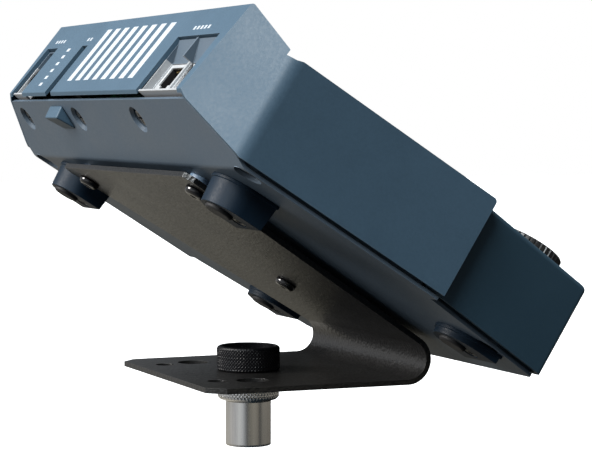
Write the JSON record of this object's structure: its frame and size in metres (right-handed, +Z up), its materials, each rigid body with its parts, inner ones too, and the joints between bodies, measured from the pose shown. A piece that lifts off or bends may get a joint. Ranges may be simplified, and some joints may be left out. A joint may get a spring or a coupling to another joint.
{
  "type": "stand-mounted control console",
  "caption": "Tilted sheet-metal control console with rear connector bays on a V-shaped swivel bracket, clamped by a knurled nut on a tubular stand.",
  "frame": {"origin": "centre of the stand tube's lower end", "axes": "+Z up the stand tube, +X towards the console's front (lower) edge, +Y across the console"},
  "size_m": [0.1556, 0.2414, 0.1635],
  "materials": {
    "blue_grey_paint": "satin, fine powder texture",
    "panel_print": "matte printed film",
    "bright_steel": "satin plated steel",
    "circuit_board": "solder mask",
    "contact_brass": "bright",
    "black_plastic": "fine moulded",
    "black_screw": "black oxide",
    "pale_nylon": "moulded",
    "lens": "clear tinted",
    "black_texture_paint": "black wrinkle powder coat",
    "brushed_tube": "lengthwise brushed",
    "chrome_collar": "bright plated",
    "black_nut": "black oxide, knurled",
    "dark_foot": "smooth moulded",
    "pad_rubber": "matte",
    "button_grey": "moulded",
    "knob_black": "moulded, ribbed"
  },
  "bodies": {
    "stand": {"stand_tube": "brushed_tube", "stand_collar": "chrome_collar", "stand_stud": "chrome_collar"},
    "nut": {"stand_nut": "black_nut"},
    "knob_1": {"knob_1": "knob_black", "knob_shaft_1": "bright_steel"},
    "knob_2": {"knob_2": "knob_black", "knob_shaft_2": "bright_steel"},
    "knob_3": {"knob_3": "knob_black", "knob_shaft_3": "bright_steel"},
    "channel_button_01": {"channel_button_01": "button_grey"},
    "channel_button_02": {"channel_button_02": "button_grey"},
    "channel_button_03": {"channel_button_03": "button_grey"},
    "channel_button_04": {"channel_button_04": "button_grey"},
    "channel_button_05": {"channel_button_05": "button_grey"},
    "channel_button_06": {"channel_button_06": "button_grey"},
    "channel_button_07": {"channel_button_07": "button_grey"},
    "channel_button_08": {"channel_button_08": "button_grey"},
    "channel_button_09": {"channel_button_09": "button_grey"},
    "channel_button_10": {"channel_button_10": "button_grey"},
    "channel_button_11": {"channel_button_11": "button_grey"},
    "channel_button_12": {"channel_button_12": "button_grey"},
    "channel_button_13": {"channel_button_13": "button_grey"},
    "channel_button_14": {"channel_button_14": "button_grey"},
    "channel_button_15": {"channel_button_15": "button_grey"},
    "channel_button_16": {"channel_button_16": "button_grey"},
    "function_button_1": {"function_button_1": "button_grey"},
    "function_button_2": {"function_button_2": "button_grey"},
    "console": {"cover": "blue_grey_paint", "base_pan": "blue_grey_paint", "front_shell": "blue_grey_paint", "control_overlay": "panel_print", "connector_bezels": "bright_steel", "connector_board": "circuit_board", "network_jack_1": "bright_steel", "network_jack_2": "bright_steel", "jack_contacts": "contact_brass", "phone_jack": "black_plastic", "power_inlet": "black_plastic", "cable_hook": "blue_grey_paint", "cover_screws": "black_screw", "foot_screws": "black_screw", "bracket_screws": "black_screw", "bracket_spacers": "pale_nylon", "control_board": "circuit_board", "main_board": "circuit_board", "board_posts": "bright_steel", "board_screws": "bright_steel", "indicator_lenses": "lens", "knob_controls": "black_plastic", "button_switches": "black_plastic", "bracket": "black_texture_paint", "foot_1": "dark_foot", "foot_pad_1": "pad_rubber", "foot_2": "dark_foot", "foot_pad_2": "pad_rubber", "foot_3": "dark_foot", "foot_pad_3": "pad_rubber", "foot_4": "dark_foot", "foot_pad_4": "pad_rubber"}
  },
  "joints": [
    {"name": "swivel", "type": "hinge", "parent": "stand", "child": "console", "pos_m": [0, 0, 0], "axis": [0, 0, 1], "continuous": true},
    {"name": "nut_turn", "type": "hinge", "parent": "stand", "child": "nut", "pos_m": [0, 0, 0], "axis": [0, 0, 1], "continuous": true},
    {"name": "channel_button_01_press", "type": "slide", "parent": "console", "child": "channel_button_01", "axis": [-0.5373, 0, -0.8434], "range_m": [0, 0.001], "stiffness_N_per_m": 200},
    {"name": "channel_button_02_press", "type": "slide", "parent": "console", "child": "channel_button_02", "axis": [-0.5373, 0, -0.8434], "range_m": [0, 0.001], "stiffness_N_per_m": 200},
    {"name": "channel_button_03_press", "type": "slide", "parent": "console", "child": "channel_button_03", "axis": [-0.5373, 0, -0.8434], "range_m": [0, 0.001], "stiffness_N_per_m": 200},
    {"name": "channel_button_04_press", "type": "slide", "parent": "console", "child": "channel_button_04", "axis": [-0.5373, 0, -0.8434], "range_m": [0, 0.001], "stiffness_N_per_m": 200},
    {"name": "channel_button_05_press", "type": "slide", "parent": "console", "child": "channel_button_05", "axis": [-0.5373, 0, -0.8434], "range_m": [0, 0.001], "stiffness_N_per_m": 200},
    {"name": "channel_button_06_press", "type": "slide", "parent": "console", "child": "channel_button_06", "axis": [-0.5373, 0, -0.8434], "range_m": [0, 0.001], "stiffness_N_per_m": 200},
    {"name": "channel_button_07_press", "type": "slide", "parent": "console", "child": "channel_button_07", "axis": [-0.5373, 0, -0.8434], "range_m": [0, 0.001], "stiffness_N_per_m": 200},
    {"name": "channel_button_08_press", "type": "slide", "parent": "console", "child": "channel_button_08", "axis": [-0.5373, 0, -0.8434], "range_m": [0, 0.001], "stiffness_N_per_m": 200},
    {"name": "channel_button_09_press", "type": "slide", "parent": "console", "child": "channel_button_09", "axis": [-0.5373, 0, -0.8434], "range_m": [0, 0.001], "stiffness_N_per_m": 200},
    {"name": "channel_button_10_press", "type": "slide", "parent": "console", "child": "channel_button_10", "axis": [-0.5373, 0, -0.8434], "range_m": [0, 0.001], "stiffness_N_per_m": 200},
    {"name": "channel_button_11_press", "type": "slide", "parent": "console", "child": "channel_button_11", "axis": [-0.5373, 0, -0.8434], "range_m": [0, 0.001], "stiffness_N_per_m": 200},
    {"name": "channel_button_12_press", "type": "slide", "parent": "console", "child": "channel_button_12", "axis": [-0.5373, 0, -0.8434], "range_m": [0, 0.001], "stiffness_N_per_m": 200},
    {"name": "channel_button_13_press", "type": "slide", "parent": "console", "child": "channel_button_13", "axis": [-0.5373, 0, -0.8434], "range_m": [0, 0.001], "stiffness_N_per_m": 200},
    {"name": "channel_button_14_press", "type": "slide", "parent": "console", "child": "channel_button_14", "axis": [-0.5373, 0, -0.8434], "range_m": [0, 0.001], "stiffness_N_per_m": 200},
    {"name": "channel_button_15_press", "type": "slide", "parent": "console", "child": "channel_button_15", "axis": [-0.5373, 0, -0.8434], "range_m": [0, 0.001], "stiffness_N_per_m": 200},
    {"name": "channel_button_16_press", "type": "slide", "parent": "console", "child": "channel_button_16", "axis": [-0.5373, 0, -0.8434], "range_m": [0, 0.001], "stiffness_N_per_m": 200},
    {"name": "function_button_1_press", "type": "slide", "parent": "console", "child": "function_button_1", "axis": [-0.5373, 0, -0.8434], "range_m": [0, 0.001], "stiffness_N_per_m": 200},
    {"name": "function_button_2_press", "type": "slide", "parent": "console", "child": "function_button_2", "axis": [-0.5373, 0, -0.8434], "range_m": [0, 0.001], "stiffness_N_per_m": 200},
    {"name": "knob_1_turn", "type": "hinge", "parent": "console", "child": "knob_1", "pos_m": [0.07335, -0.0815, 0.07606], "axis": [0.5373, 0, 0.8434], "range_deg": [-150, 150]},
    {"name": "knob_2_turn", "type": "hinge", "parent": "console", "child": "knob_2", "pos_m": [0.07335, 0, 0.07606], "axis": [0.5373, 0, 0.8434], "range_deg": [-150, 150]},
    {"name": "knob_3_turn", "type": "hinge", "parent": "console", "child": "knob_3", "pos_m": [0.07335, 0.0815, 0.07606], "axis": [0.5373, 0, 0.8434], "range_deg": [-150, 150]}
  ]
}
